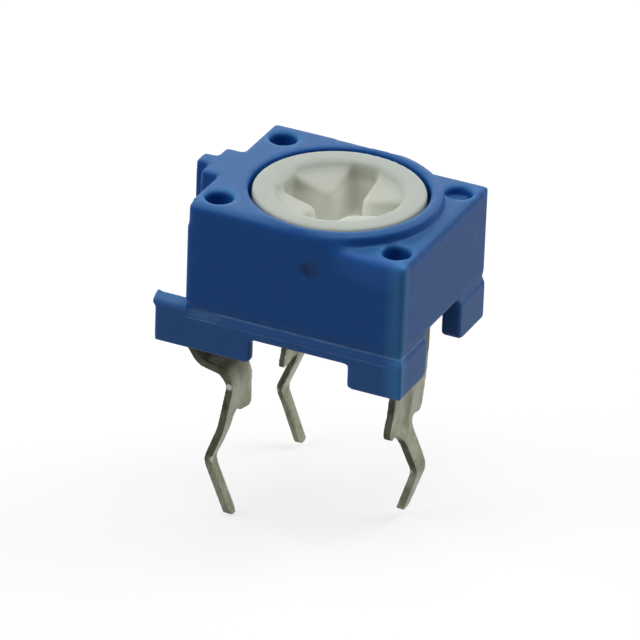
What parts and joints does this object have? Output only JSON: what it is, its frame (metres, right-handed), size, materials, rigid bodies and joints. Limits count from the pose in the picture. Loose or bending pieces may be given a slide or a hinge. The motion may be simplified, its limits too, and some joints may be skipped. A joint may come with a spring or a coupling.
{
  "type": "trimmer potentiometer",
  "caption": "Single-turn trimmer with a square blue housing, a white cross-slot rotor in a round collar, and kinked flat metal terminals below.",
  "frame": {"origin": "on the rotor's axis, in the plane of the undersides of the housing's feet", "axes": "+Z along the rotor's axis, out of the screwdriver slot; -Y towards the front face; -X towards the side with the rail and the two end terminals"},
  "size_m": [0.0087, 0.0066, 0.0112],
  "materials": {
    "housing_plastic": "satin",
    "rotor_plastic": "satin",
    "spring_alloy": "rolled",
    "washer_steel": "stamped",
    "alumina": "fired",
    "cermet_film": "fired film",
    "conductor_film": "fired film",
    "terminal_metal": "tinned",
    "solder": "reflowed"
  },
  "bodies": {
    "base": {"housing": "housing_plastic", "substrate": "alumina", "resistive_track": "cermet_film", "collector_track": "conductor_film", "pad_ccw": "conductor_film", "pad_cw": "conductor_film", "terminal_ccw": "terminal_metal", "terminal_wiper": "terminal_metal", "terminal_cw": "terminal_metal", "solder_ccw": "solder", "solder_wiper": "solder", "solder_cw": "solder"},
    "rotor": {"rotor": "rotor_plastic", "wiper_spring": "spring_alloy", "retaining_washer": "washer_steel"}
  },
  "joints": [
    {"name": "rotor_turn", "type": "hinge", "parent": "base", "child": "rotor", "pos_m": [0, 0, 0.004], "axis": [0, 0, 1], "range_deg": [-125, 125]}
  ]
}
